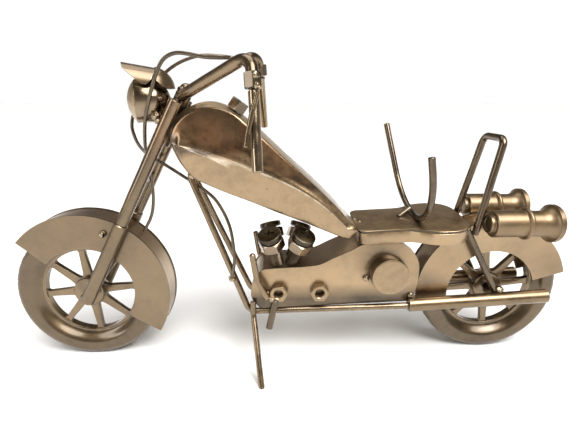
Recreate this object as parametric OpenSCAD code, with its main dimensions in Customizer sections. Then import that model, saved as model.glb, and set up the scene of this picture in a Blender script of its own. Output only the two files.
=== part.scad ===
// Welded steel chopper ornament that holds a bottle: millimetres, front towards -X, +Z up.
// The origin is on the ground, midway between the axles.

/* [Overall] */
// Distance between the two axles
wheelbase = 263; // [255:1:275]
// Diameter of the main bent rods
rod_d = 4; // [3.6:0.1:4.4]
// Thickness of the sheet metal
sheet = 1.2; // [1:0.1:1.4]
// Height of the near side below, and of the far side above, the level of both bars
bar_skew = 6.5; // [0:0.5:7]

/* [Wheels] */
// Diameter over the tread
wheel_d = 90; // [88:1:91]
// Width over the sidewalls
tyre_w = 15; // [14:0.2:15.4]
// Diameter of the opening inside the rim
opening_d = 57; // [55:1:58]
// Number of spokes
spokes = 8; // [6:1:10]
// Diameter of the hub
hub_d = 19; // [17:1:20]
// Diameter of both axles
axle_d = 4; // [3.6:0.1:4.4]
// Radial running clearance of the hub on its axle
run_gap = 0.05; // [0.02:0.01:0.1]

/* [Fenders] */
// Width over both fender plates
fender_w = 19; // [18:0.5:20]
// Outer radius of the front fender
front_fender_r = 51.8; // [51:0.2:53]
// Outer radius of the rear fender
rear_fender_r = 49.2; // [49:0.2:50]

/* [Engine and frame] */
// Width over the engine case
case_w = 31; // [30:0.5:32]
// Diameter of the round cap on the case
cap_d = 23; // [20:0.2:25]
// How far the round cap stands out
cap_h = 9; // [6:0.5:10]
// Diameter of the screw heads that stand for the cylinders
head_d = 14.4; // [13:0.2:15]

/* [Tank and seat] */
// Width over the edges of the tank
tank_w = 33; // [31:0.5:34]
// How far each tank side bulges
tank_bulge = 4; // [2:0.5:5]
// How much the tank's back is crowned, as a share of its size
tank_crown = 0.045; // [0.01:0.005:0.05]
// Half width of the front of the seat
seat_front = 17.5; // [16:0.5:19]
// Half width of the rear of the seat
seat_rear = 24; // [22:0.5:25]

/* [Cradle and hoop] */
// Radius of the cradle at the middle of its rod
cradle_r = 35.4; // [34:0.2:37]
// Half width of the hoop at its feet
hoop_foot = 15; // [14:0.5:16]
// Half width of the hoop at its top
hoop_top = 11.3; // [10:0.1:12]

/* [Tail] */
// Diameter of the exhaust tubes
muffler_d = 8.6; // [7:0.1:9]
// Diameter of the canister body
can_d = 16.4; // [15:0.2:17]
// Diameter of the flared canister rim
can_rim_d = 23; // [22:0.2:24]

/* [Fork and bars] */
// Diameter of the upper fork tubes
fork_d = 7.2; // [6.6:0.1:7.4]
// Diameter of the lower fork tubes
slider_d = 8.2; // [7.8:0.1:8.4]
// Half distance between the fork tubes
fork_y = 13.9; // [13.7:0.1:14.5]
// Diameter of the handlebar tubes
bar_d = 6.2; // [5.6:0.1:6.6]
// Diameter of the grips
grip_d = 5.2; // [4.8:0.1:5.4]
// Half width of the bars at the ends of the grips
bar_reach = 57; // [52:1:60]

/* [Hidden] */
$fn = 48;

wheel_r = wheel_d / 2;
front_x = -wheelbase / 2;
rear_x = wheelbase / 2;
left = -1;
right = 1;
case_y = case_w / 2;
fender_y = fender_w / 2;
bronze = "#9c8363";
dark_bronze = "#6f5a41";
bright_steel = "#cfc8bb";
black_steel = "#2a2620";

// Angle range of each fender, from straight back, upwards
front_arc = [-33, 138];
rear_arc = [16, 186];
front_fender_at = [front_x + 1.5, 0, 46.6];
rear_fender_at = [rear_x - 1, 0, 43.5];

// Outline of the engine case, as X and Z
case_outline = [
    [-20, 37.3], [-25, 44], [-25.5, 50], [-24, 58], [-20, 63], [-16, 64.5], [-2, 65.2],
    [11, 66], [18, 67.5], [27, 72], [36, 76], [44, 80], [58, 82], [70, 79.5],
    [76.5, 73], [79.5, 66], [79.8, 56], [78, 46], [74, 41]
];
// Outline of the tank, as X and Z
tank_outline = [
    [39.5, 89.5], [33.5, 96], [28.5, 102], [16.5, 114], [4.5, 125], [-6.5, 135],
    [-15.5, 143.5], [-24, 151], [-30, 156], [-36, 159.3], [-42, 161], [-48, 160.8],
    [-54, 159], [-59.5, 156], [-64, 151.5], [-66.5, 146.5], [-67, 141], [-65.5, 136],
    [-62.5, 130], [-58.5, 124.5], [-53.5, 120.5], [-39.5, 114], [-24.5, 108],
    [-10.5, 102], [4.5, 96], [17.5, 90.5], [29.5, 85.5], [35, 84.5]
];
// Seat plane: it rises slightly to the rear, and to the far side from its near edge
seat_tilt = 2.6;
seat_roll = 5.5;
seat_at = [40, 0, 88.5];
seat_skirt_h = 9;

// Fork line on the middle plane, from its top to its foot
fork_top = [-63.2, 0, 164.5];
fork_mid = [-101.2, 0, 94.1];
fork_foot = [-128.6, 0, 43.3];

// Places of the handlebar, with Y counted outwards
bar_root = [-62.5, 7, 167];
bar_knee = [-20.5, 38, 189.8];
bar_end = [-19.5, 45, 178];
grip_top = [-19.3, 45.6, 174];
grip_end = [-17.6, bar_reach, 139];

// Cables: points chosen by hand along each welded route
front_cable_route = [
    [-32, -21, 185.5], [-38, -20, 185.5], [-46, -18, 186], [-54, -17, 187.5],
    [-61, -16, 188], [-67, -15.5, 185.5], [-71, -15.5, 180], [-74.5, -15.5, 172],
    [-77.5, -15.2, 164], [-81, -13.2, 154], [-84, -8, 143], [-85.5, -3.5, 134],
    [-85.5, -1, 124], [-85, 0, 112], [-86, 0, 101], [-88.5, 0, 93], [-93.5, 0, 84.5]
];
frame_cable_route = [
    [-34, 26, 189.5], [-43, 24.5, 190.5], [-55, 22.5, 190.5], [-67, 20, 186.5],
    [-77, 17.5, 179.5], [-88, 16.5, 169], [-95.5, 15, 159], [-97.5, 12, 150],
    [-96, 10, 143], [-93, 8, 137.5], [-88, 5.5, 133], [-82, 3, 130],
    [-73, 0, 125], [-64, -2, 119.5], [-54, -4.5, 113.5], [-45, -7, 105.5],
    [-38, -10.5, 92], [-35.5, -13.2, 77], [-35.5, -14.5, 68], [-37.5, -15.2, 58]
];

function unit(v) = v / norm(v);
function side_point(p, side) = [p[0], side * p[1], p[2] + side * bar_skew * p[1] / bar_reach];

// Point on a smooth curve through the points p, at segment i and fraction t
function spline(p, i, t) =
    let (a = p[max(i - 1, 0)], b = p[i], c = p[i + 1], d = p[min(i + 2, len(p) - 1)])
    0.5 * (2 * b + (c - a) * t + (2 * a - 5 * b + 4 * c - d) * t * t
        + (3 * b - a - 3 * c + d) * t * t * t);
function smooth_path(p, n) =
    concat([for (i = [0 : len(p) - 2]) for (k = [0 : n - 1]) spline(p, i, k / n)], [p[len(p) - 1]]);
function tangent(p, i) = unit(p[min(i + 1, len(p) - 1)] - p[max(i - 1, 0)]);

// Round rod from a to b
module rod(a, b, d) {
    v = b - a;
    translate(a)
        rotate([0, acos(v[2] / norm(v)), atan2(v[1], v[0])])
            cylinder(h = norm(v), d = d);
}

// Points along straight runs through p, with an arc of radius r cut into n steps at each corner
function corner(p, i, r, n) =
    let (u = unit(p[i] - p[i - 1]), v = unit(p[i + 1] - p[i]), turn = acos(u * v),
        centre = p[i] + unit(v - u) * r / cos(turn / 2),
        out = unit(p[i] - u * r * tan(turn / 2) - centre), ahead = unit(cross(cross(u, v), out)))
    [for (k = [0 : n]) centre + r * (cos(turn * k / n) * out + sin(turn * k / n) * ahead)];
function bent_path(p, r, n = 6) =
    concat([p[0]], [for (i = [1 : len(p) - 2]) each corner(p, i, r, n)], [p[len(p) - 1]]);

// Directions across a path, carried along it without twist
function across(p, t) =
    [for (i = 0, s = unit(cross(t[0], [0.2, 1, 0.3])); i < len(p);
        i = i + 1, s = i < len(p) ? unit(s - (s * t[i]) * t[i]) : s) s];

// Tube of diameter d swept along the points p
module tube(p, d, sides = 16) {
    n = len(p);
    t = [for (i = [0 : n - 1]) tangent(p, i)];
    s = across(p, t);
    rings = [for (i = [0 : n - 1]) for (k = [0 : sides - 1])
        p[i] + d / 2 * (cos(360 * k / sides) * s[i] + sin(360 * k / sides) * cross(t[i], s[i]))];
    walls = [for (i = [0 : n - 2]) for (k = [0 : sides - 1])
        let (a = i * sides + k, b = i * sides + (k + 1) % sides)
        each [[a, b + sides, b], [a, a + sides, b + sides]]];
    first = [[for (k = [0 : sides - 1]) k]];
    end = [[for (k = [sides - 1 : -1 : 0]) (n - 1) * sides + k]];
    polyhedron(points = rings, faces = concat(first, walls, end));
}

// Round rod along straight runs through the points p, bent to the radius r at each corner
module bent_rod(p, d, r) {
    tube(bent_path(p, r), d);
}

// Plate with an X-Z outline, from y0 to y0 + t
module plate_xz(outline, y0, t) {
    translate([0, y0 + t, 0])
        rotate([90, 0, 0])
            linear_extrude(t)
                polygon(outline);
}

// Part of a ring between the radii r0 and r1, over the angles a[0] to a[1] from straight back
module arc_ring(at, r0, r1, a, y0, y1) {
    translate([at[0], y1, at[2]])
        rotate([90, 0, 0])
            rotate([0, 0, a[0]])
                rotate_extrude(angle = a[1] - a[0], $fn = 96)
                    translate([r0, 0])
                        square([r1 - r0, y1 - y0]);
}

// ---- frame and engine ----
module frame_rod(side) {
    color(bronze)
        bent_rod([
            [-60.5, side * 4.5, 120], [-27, side * 14.4, 35], [76, side * 17.4, 38.9]
        ], rod_d, 7);
}

module case_side(side) {
    color(bronze)
        plate_xz(case_outline, side > 0 ? case_y - sheet : -case_y, sheet);
}

module engine_case_band() {
    inner = 0.955;
    mid = [27, 60];
    color(dark_bronze)
        translate([0, case_y - sheet, 0])
            rotate([90, 0, 0])
                linear_extrude(case_w - 2 * sheet)
                    difference() {
                        polygon(case_outline);
                        translate(mid * (1 - inner))
                            scale(inner)
                                polygon(case_outline);
                    }
}

module case_caps() {
    cap_at = [59.7, 62];
    color(bronze)
        for (side = [left, right])
            translate([cap_at[0], side * case_y, cap_at[1]])
                rotate([side * -90, 0, 0])
                    cylinder(h = cap_h, d = cap_d);
}

// The four cylinders: each leans outwards, and fore or aft in a V
module cylinders() {
    splay = 22;
    foot_z = 63.3;
    foot_step = 1.7;
    for (side = [left, right])
        for (lean = [[-8.6, -13], [-0.4, 20]])
            translate([lean[0], side * 6.8, foot_z - side * foot_step])
                rotate([-side * splay, lean[1], 0])
                    children();
}
screw_d = 8;
screw_l = 22.8;

module cylinder_screws() {
    color(black_steel)
        cylinders() {
            union() {
                cylinder(h = screw_l, d = screw_d);
                translate([0, 0, screw_l - 0.5])
                    difference() {
                        union() {
                            cylinder(h = 3, d = head_d);
                            translate([0, 0, 3])
                                cylinder(h = 1, d1 = head_d, d2 = head_d - 2.4);
                        }
                        for (turn = [0, 90])
                            rotate(turn)
                                translate([-3.2, -0.5, 2.4])
                                    cube([6.4, 1, 2]);
                    }
            }
        }
}

module hex_nut(across, hole, h) {
    difference() {
        cylinder(h = h, d = across / cos(30), $fn = 6);
        translate([0, 0, -1])
            cylinder(h = h + 2, d = hole);
    }
}

module cylinder_nuts() {
    color(bright_steel)
        cylinders() {
            translate([0, 0, 14.6])
                hex_nut(14, screw_d + 0.1, 6.6);
        }
}

module side_nuts() {
    places = [[-8.5, 49.6], [17.2, 49.6]];
    color(bronze)
        for (side = [left, right], p = places)
            translate([p[0], side * case_y, p[1]])
                rotate([side * -90, 0, 0])
                    rotate(30)
                        hex_nut(10, 5.6, 5);
}

module lever_rod(side) {
    color(bronze)
        bent_rod([
            [-24, side * 20.5, 77], [-21.5, side * 20.5, 60], [-14.8, side * 20.5, 46.4]
        ], 3.8, 9);
}

module foot_pegs() {
    color(dark_bronze)
        for (side = [left, right])
            rod([-10.2, side * 19.5, 45.4], [-14.6, side * 22.5, 27], 4.2);
}

module kickstand() {
    color(bronze)
        intersection() {
            bent_rod([[-24.5, -16.6, 43], [-24.3, -18.5, 34], [-18.6, -44.4, -3]], 3.7, 8);
            translate([-60, -80, 0])
                cube([80, 80, 60]);
        }
}

// ---- tank and seat ----
// The tank's outline scaled by k about the middle of its side
module tank_panel(k) {
    mid = [-22, 126];
    translate(mid * (1 - k))
        scale(k)
            polygon(tank_outline);
}

// Raised panel: the outline at its edge, and the outline scaled by top at height h
module raised_panel(edge, top, h) {
    hull() {
        linear_extrude(sheet)
            tank_panel(edge);
        linear_extrude(h)
            tank_panel(top);
    }
}

// Pressed side of the tank, dished to one thickness of sheet
module tank_side(side) {
    color(bronze)
        translate([0, side * (tank_w / 2 - sheet), 0])
            rotate([90, 0, 0])
                mirror([0, 0, side > 0 ? 1 : 0])
                    difference() {
                        raised_panel(1, 0.45, sheet + tank_bulge);
                        translate([0, 0, -sheet])
                            raised_panel(0.93, 0.45, sheet + tank_bulge);
                    }
}

// The tank's outline grown by k about its tail
module grown_tank(k) {
    tail = [20, 95];
    translate(tail * (1 - k))
        scale(k)
            polygon(tank_outline);
}

// Solid body of the tank between its sides, with a crowned back: the outline grows by k midway
module crowned_tank(k, k_side, w) {
    slices = [[-w / 2, k_side], [-w / 6, k], [w / 6 - 0.1, k], [w / 2 - 0.1, k_side]];
    hull()
        for (slice = slices)
            translate([0, slice[0] + 0.1, 0])
                rotate([90, 0, 0])
                    linear_extrude(0.1)
                        grown_tank(slice[1]);
}

module tank_band() {
    w = tank_w - 2 * sheet;
    wall = 0.035;
    color(bronze)
        difference() {
            crowned_tank(1 + tank_crown, 1, w);
            crowned_tank(1 + tank_crown - wall, 1 - wall, w + 0.4);
        }
}

module fuel_cap() {
    color(bronze)
        translate([-32.2, -4.5, 158.9])
            rotate([0, 36, 0])
                difference() {
                    cylinder(h = 6, d = 10 / cos(30), $fn = 6);
                    translate([0, 0, 4])
                        cylinder(h = 3, d = 5);
                }
}

module seat_outline() {
    nose_r = 5;
    tail_r = 14;
    length = 69;
    for (side = [left, right]) {
        translate([nose_r, side * (seat_front - nose_r)])
            circle(r = nose_r);
        translate([length - tail_r, side * (seat_rear - tail_r)])
            circle(r = tail_r);
    }
    polygon([
        [nose_r, -seat_front], [34, -seat_front], [47, -seat_rear], [length - tail_r, -seat_rear],
        [length - tail_r, seat_rear], [47, seat_rear], [34, seat_front], [nose_r, seat_front]
    ]);
    translate([0, -seat_front + nose_r])
        square([nose_r, 2 * (seat_front - nose_r)]);
    translate([length - tail_r, -seat_rear + tail_r])
        square([tail_r, 2 * (seat_rear - tail_r)]);
}

module on_seat() {
    translate(seat_at + [0, -seat_rear, 0])
        rotate([0, -seat_tilt, 0])
            rotate([seat_roll, 0, 0])
                translate([0, seat_rear, 0])
                    children();
}

module seat_top() {
    color(bronze)
        on_seat()
            translate([0, 0, -sheet])
                linear_extrude(sheet)
                    seat_outline();
}

module seat_skirt() {
    inner = 0.945;
    color(dark_bronze)
        difference() {
            on_seat()
                translate([0, 0, -seat_skirt_h])
                    linear_extrude(seat_skirt_h - sheet)
                        difference() {
                            seat_outline();
                            translate([38 * (1 - inner), 0])
                                scale(inner)
                                    seat_outline();
                        }
            translate([rear_fender_at[0], fender_y + 0.3, rear_fender_at[2]])
                rotate([90, 0, 0])
                    cylinder(h = fender_w + 0.6, r = rear_fender_r + 0.3, $fn = 96);
            plate_xz(case_outline, -case_y - 0.1, case_w + 0.2);
            plate_xz(tank_outline, -tank_w / 2, tank_w);
        }
}

// ---- cradle, hoop and tail ----
// Cradle rod as sideways and upward distances: a straight near arm, an arc, and a flared far arm
near_arm = 7.5;
far_arm = 35.5;
far_turn = 68;
cradle_line = concat(
    [[-cradle_r, cradle_r + near_arm]],
    [for (i = [0 : 20]) let (a = 180 + (90 + far_turn) * i / 20)
        [cradle_r * cos(a), cradle_r * (1 + sin(a))]],
    [[cradle_r * sin(far_turn) + far_arm * cos(far_turn),
        cradle_r * (1 - cos(far_turn)) + far_arm * sin(far_turn)]]
);

module bottle_cradle() {
    lean = 10;
    color(bronze)
        translate([79, -1, 94])
            rotate([0, -lean, 0])
                tube([for (p = cradle_line) [0, p[0], p[1]]], rod_d);
}

module cradle_stub() {
    color(dark_bronze)
        rod([69, 0.5, 92.8], [77, 3, 98], 3.6);
}

module sissy_bar() {
    color(bronze)
        bent_rod([
            [112.1, -hoop_foot, 85.5], [123.5, -hoop_top, 143],
            [123.5, hoop_top, 143], [112.1, hoop_foot, 85.5]
        ], rod_d + 0.3, 5);
}

module rear_strut(side) {
    color(bronze)
        rod([107, side * 14, 89.5], [130.6, side * 14.8, 47], rod_d);
}

module muffler(side) {
    color(bronze)
        difference() {
            rod([74.2, side * 17.5, 39.4], [163, side * 17.5, 44.4], muffler_d);
            rod([148, side * 17.5, 43.56], [163.5, side * 17.5, 44.43], muffler_d - 2.4);
        }
}

module canister(side) {
    r = can_d / 2;
    rim_r = can_rim_d / 2;
    color(bronze)
        translate([117.5, side * 17.2, 94.2 + side])
            rotate([0, 90, 0])
                rotate_extrude($fn = 64)
                    polygon(concat(
                        [[0, 0], [r - 2.6, 0], [r - 2.6, 2], [r, 2.6], [r, 21]],
                        [for (a = [-90 : 30 : 90]) [r + 1.6 * cos(a), 22.6 + 1.6 * sin(a)]],
                        [[r - 0.4, 24.4], [r - 0.4, 31]],
                        [for (a = [0 : 15 : 75])
                            [r - 0.4 + (rim_r - r + 0.4) * (1 - cos(a)) / (1 - cos(75)),
                                31 + 7 * sin(a) / sin(75)]],
                        [[rim_r, 40.5], [rim_r - 1.2, 41], [rim_r - 5, 39.4], [0, 39.4]]
                    ));
}

module rear_axle() {
    color(dark_bronze)
        rod([rear_x, -14.4, wheel_r], [rear_x, 14.4, wheel_r], axle_d);
}

// ---- fenders ----
module front_fender_plate(side) {
    color(bronze)
        arc_ring(front_fender_at, 30.3, front_fender_r, front_arc,
            side > 0 ? fender_y - sheet : -fender_y, side > 0 ? fender_y : -fender_y + sheet);
}

module rear_fender_plate(side) {
    color(bronze)
        arc_ring(rear_fender_at, 28.6, rear_fender_r, rear_arc,
            side > 0 ? fender_y - sheet : -fender_y, side > 0 ? fender_y : -fender_y + sheet);
}

module front_fender_band() {
    color(bronze)
        arc_ring(front_fender_at, front_fender_r - sheet, front_fender_r, front_arc,
            -fender_y + sheet, fender_y - sheet);
}

module rear_fender_band() {
    color(bronze)
        arc_ring(rear_fender_at, rear_fender_r - sheet, rear_fender_r, rear_arc,
            -fender_y + sheet, fender_y - sheet);
}

// ---- fork, headlight and bars ----
module fork_upper(side) {
    color(bronze)
        rod(fork_top + [0, side * fork_y, 0], fork_mid + [0, side * fork_y, 0], fork_d);
}

module fork_lower(side) {
    color(bronze)
        rod(fork_mid + [0, side * fork_y, 0], fork_foot + [0, side * fork_y, 0], slider_d);
}

module front_axle() {
    color(dark_bronze)
        rod([front_x, -12.4, wheel_r], [front_x, 12.4, wheel_r], axle_d);
}

module fork_bridge() {
    color(dark_bronze) {
        rod([-65.5, -fork_y, 160.5], [-65.5, fork_y, 160.5], 5);
        rod([-89.8, -fork_y, 118], [-89.8, fork_y, 118], 5);
    }
}

module steering_neck() {
    color(dark_bronze)
        rod([-61.5, 0, 168], [-77, 0, 139.5], 9);
}

module stem_nut() {
    u = unit([15.5, 0, 28.5]);
    color(bronze)
        translate([-61.5, 0, 168])
            rotate([0, acos(u[2]), 0]) {
                cylinder(h = 2.4, d = 9.2, $fn = 6);
                translate([0, 0, 2.4])
                    sphere(d = 7.4);
            }
}

// The lamp and its peak are welded on slightly turned to the near side
lamp_turn = 15;
module turned() {
    translate([-80, 0, 0])
        rotate([0, 0, lamp_turn])
            translate([80, 0, 0])
                children();
}

module headlight_shell() {
    front = -89;
    r = 12;
    color(bronze)
        turned()
            translate([front, 0, 163.8])
                rotate([0, 90, 0])
                    difference() {
                        rotate_extrude($fn = 64)
                            polygon(concat(
                                [[0, 0], [r, 0], [r, 8]],
                                [for (a = [10 : 10 : 80]) [r * cos(a), 8 + 11.5 * sin(a)]],
                                [[0, 19.5]]
                            ));
                        translate([0, 0, -1])
                            rotate_extrude($fn = 64)
                                polygon([[0, 0], [r - 1, 0], [r - 1, 8], [r - 4, 15], [0, 17]]);
                    }
}

module headlight_lens() {
    dome_r = 17;
    rim_r = 11.6;
    sag = dome_r - sqrt(dome_r * dome_r - rim_r * rim_r);
    color(bright_steel)
        turned()
            translate([-89, 0, 163.8])
                rotate([0, -90, 0])
                    intersection() {
                        translate([0, 0, sag - dome_r])
                            sphere(r = dome_r, $fn = 96);
                        cylinder(h = 8, r = rim_r);
                    }
}

// Peak over the lamp: a tilted half barrel in front, and a rounded leaf behind it
module headlight_visor() {
    barrel_r = 10.4;
    tilt = 9;
    leaf_r = 12.6;
    color(bronze) turned() {
        intersection() {
            translate([-70, 0, 170.4])
                rotate([0, -90 + tilt, 0])
                    difference() {
                        cylinder(h = 34, r = barrel_r);
                        translate([0, 0, -1])
                            cylinder(h = 36, r = barrel_r - sheet);
                    }
            plate_xz([
                [-94.5, 187], [-94.5, 184.6], [-93.8, 182], [-91, 179], [-86.5, 174.6],
                [-83, 172], [-79.5, 175], [-76.3, 182], [-76.3, 187]
            ], -20, 40);
        }
        intersection() {
            translate([-79.2, 0, 170.2])
                difference() {
                    sphere(r = leaf_r, $fn = 64);
                    sphere(r = leaf_r - sheet, $fn = 64);
                }
            plate_xz([
                [-77, 186], [-77, 178], [-75, 171.5], [-69, 169], [-65, 169], [-65, 186]
            ], -11.3, 22.6);
        }
    }
}

module handlebar(side) {
    color(bronze)
        bent_rod([
            side_point(bar_root, side), side_point(bar_knee, side), side_point(bar_end, side)
        ], bar_d, 9);
}

module bar_nuts() {
    color(bronze)
        for (side = [left, right]) {
            top = side_point(bar_end, side);
            low = side_point(grip_top, side);
            u = unit(low - top);
            translate(top)
                rotate([0, acos(u[2]), atan2(u[1], u[0])])
                    translate([0, 0, -4])
                        cylinder(h = 7, d = 8 / cos(30), $fn = 6);
        }
}

module grip(side) {
    color(bright_steel)
        rod(side_point(grip_top, side), side_point(grip_end, side), grip_d);
}

module brake_levers() {
    color(bronze)
        for (side = [left, right])
            bent_rod([
                side_point([-17.3, 49.7, 174], side), side_point([-19.6, 52.4, 166], side),
                side_point([-22, 54.8, 156], side), side_point([-22.8, 56.6, 150.5], side)
            ], 2.5, 5);
}

module front_cable() {
    color(dark_bronze)
        tube(smooth_path(front_cable_route, 2), 2, 8);
}

module frame_cable() {
    color(dark_bronze)
        tube(smooth_path(frame_cable_route, 2), 2, 8);
}

// Beads of weld metal: place and diameter of each
bead_list = [
    [[-114.8, -10.5, 86.7], 4], [[-76, -10.2, 156], 4.6], [[-37.2, -13.5, 58], 4.6],
    [[41, 0, 89.4], 6], [[75.8, -15.4, 45.2], 4], [[132.5, -16.2, 48.6], 5],
    [[46.4, -16.4, 58], 3.6], [[-15.4, -18.6, 48.6], 4.6], [[-66.2, -6, 152], 5],
    [[-59.5, -5, 121.4], 5], [[-59.5, 5, 121.4], 5], [[-62, -8, 166.4], 5]
];
module weld_beads() {
    color(bright_steel)
        for (bead = bead_list)
            translate(bead[0])
                sphere(d = bead[1], $fn = 24);
}

// ---- wheels ----
// Half of a tyre's section from the bore to the crown, as radius and width, at a depth below the skin
crown = 3;
shoulder_r = 4.2;
function half_section(depth) =
    let (half_w = tyre_w / 2 - depth, bore_r = opening_d / 2 + 2, r = shoulder_r - depth)
    concat(
        [[bore_r, 2.8 - depth], [bore_r + 3, half_w - 2], [bore_r + 6, half_w]],
        [for (a = [0 : 18 : 90])
            [wheel_r - shoulder_r + r * sin(a), crown + (half_w - crown) * cos(a)]]
    );
function flipped(section) = [for (p = section) [p[0], -p[1]]];
function reversed(section) = [for (i = [len(section) - 1 : -1 : 0]) section[i]];

// Tyre pressed from sheet: a channel that is open towards the rim
module tyre(x) {
    outer = half_section(0);
    inner = half_section(sheet);
    color(bronze)
        translate([x, 0, wheel_r])
            rotate([90, 0, 0])
                rotate_extrude($fn = 128)
                    polygon(concat(
                        outer, reversed(flipped(outer)), flipped(inner), reversed(inner)
                    ));
}

module wheel(x) {
    rim_r = opening_d / 2;
    spoke_end = rim_r + 0.5;
    hub_w = 10;
    rim_w = 5.2;
    color(dark_bronze)
        translate([x, 0, wheel_r])
            rotate([90, 0, 0])
                difference() {
                    union() {
                        difference() {
                            cylinder(h = rim_w, r = rim_r + 2, center = true, $fn = 96);
                            cylinder(h = rim_w + 2, r = rim_r, center = true, $fn = 96);
                        }
                        cylinder(h = hub_w, d = hub_d, center = true);
                        for (i = [0 : spokes - 1])
                            rotate(360 * i / spokes + 5)
                                translate([0, 0, -1.7])
                                    linear_extrude(3.4)
                                        polygon([
                                            [5, -2.5], [spoke_end, -1.9],
                                            [spoke_end, 1.9], [5, 2.5]
                                        ]);
                    }
                    cylinder(h = hub_w + 2, r = axle_d / 2 + run_gap, center = true);
                }
}

frame_rod(left);  // frame_rod_left
frame_rod(right);  // frame_rod_right
case_side(left);  // engine_case_left
case_side(right);  // engine_case_right
engine_case_band();
case_caps();
cylinder_screws();
cylinder_nuts();
side_nuts();
lever_rod(left);  // lever_rod_left
lever_rod(right);  // lever_rod_right
foot_pegs();
kickstand();
tank_side(left);  // tank_left
tank_side(right);  // tank_right
tank_band();
fuel_cap();
seat_top();
seat_skirt();
bottle_cradle();
cradle_stub();
sissy_bar();
rear_strut(left);  // rear_strut_left
rear_strut(right);  // rear_strut_right
rear_fender_plate(left);  // rear_fender_left
rear_fender_plate(right);  // rear_fender_right
rear_fender_band();
muffler(left);  // muffler_left
muffler(right);  // muffler_right
canister(left);  // canister_left
canister(right);  // canister_right
rear_axle();
steering_neck();
fork_bridge();
stem_nut();
fork_upper(left);  // fork_upper_left
fork_upper(right);  // fork_upper_right
fork_lower(left);  // fork_lower_left
fork_lower(right);  // fork_lower_right
front_axle();
front_fender_plate(left);  // front_fender_left
front_fender_plate(right);  // front_fender_right
front_fender_band();
headlight_shell();
headlight_lens();
headlight_visor();
handlebar(left);  // handlebar_left
handlebar(right);  // handlebar_right
bar_nuts();
grip(left);  // grip_left
grip(right);  // grip_right
brake_levers();
front_cable();
frame_cable();
weld_beads();
tyre(front_x);  // front_tyre
wheel(front_x);  // front_wheel
tyre(rear_x);  // rear_tyre
wheel(rear_x);  // rear_wheel
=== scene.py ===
"""Looks of a welded steel chopper that holds a bottle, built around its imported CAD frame.

Lengths in this file are millimetres, as in the CAD source, and become metres when a mesh is made.
The front is -X, the near side is -Y (side -1), and the ground is Z = 0.
"""
import math

import bmesh
import bpy
from mathutils import Matrix, Vector, noise


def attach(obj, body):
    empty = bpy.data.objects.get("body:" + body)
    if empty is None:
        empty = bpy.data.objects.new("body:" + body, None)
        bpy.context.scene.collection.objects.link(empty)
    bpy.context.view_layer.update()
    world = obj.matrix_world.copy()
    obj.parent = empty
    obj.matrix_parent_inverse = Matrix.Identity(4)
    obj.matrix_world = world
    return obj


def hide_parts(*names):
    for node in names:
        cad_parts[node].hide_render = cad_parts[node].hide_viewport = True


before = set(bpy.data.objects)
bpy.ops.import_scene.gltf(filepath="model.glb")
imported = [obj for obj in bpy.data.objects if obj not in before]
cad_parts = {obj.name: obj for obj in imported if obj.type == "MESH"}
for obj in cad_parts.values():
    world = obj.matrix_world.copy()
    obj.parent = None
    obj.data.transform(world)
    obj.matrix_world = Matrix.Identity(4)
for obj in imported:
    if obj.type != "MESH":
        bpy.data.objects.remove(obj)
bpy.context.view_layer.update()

MM = 0.001
SIDES = {"left": -1, "right": 1}
WHEEL_R = 45.0
FRONT_X = -131.5
REAR_X = 131.5
SHEET = 1.2
SHARP_DEG = 38


# ---- small geometry helpers ----
def unit(v):
    return Vector(v).normalized()


def across(axis):
    """Two unit vectors square to an axis and to each other."""
    w = unit(axis)
    u = w.cross(Vector((0.13, 0.21, 1.0)) if abs(w.z) < 0.9 else Vector((1.0, 0.2, 0.1))).normalized()
    return u, w.cross(u)


def spline(points, steps, closed=False):
    """Points on a Catmull-Rom curve through the given ones, of any dimension."""
    n = len(points)
    pts = [Vector(p) for p in points]
    out = []
    for i in range(n if closed else n - 1):
        if closed:
            a, b, c, d = (pts[(i + k) % n] for k in (-1, 0, 1, 2))
        else:
            a, b, c, d = pts[max(i - 1, 0)], pts[i], pts[i + 1], pts[min(i + 2, n - 1)]
        for k in range(steps):
            t = k / steps
            out.append(0.5 * (2 * b + (c - a) * t + (2 * a - 5 * b + 4 * c - d) * t * t
                              + (3 * b - a - 3 * c + d) * t ** 3))
    return out if closed else out + [pts[-1]]


def bent(points, radius, steps=12):
    """Straight runs through the points, with an arc of that radius at each corner."""
    p = [Vector(q) for q in points]
    out = [p[0]]
    for i in range(1, len(p) - 1):
        u, v = unit(p[i] - p[i - 1]), unit(p[i + 1] - p[i])
        turn = u.angle(v)
        centre = p[i] + unit(v - u) * radius / math.cos(turn / 2)
        start = unit(p[i] - u * radius * math.tan(turn / 2) - centre)
        ahead = unit(u.cross(v).cross(start))
        out += [centre + radius * (math.cos(turn * k / steps) * start + math.sin(turn * k / steps) * ahead)
                for k in range(steps + 1)]
    return out + [p[-1]]


def even(points, step):
    """The same line with points about one step apart."""
    out = [Vector(points[0])]
    for a, b in zip(points, points[1:]):
        a, b = Vector(a), Vector(b)
        n = max(1, round((b - a).length / step))
        out += [a.lerp(b, k / n) for k in range(1, n + 1)]
    return out


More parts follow.
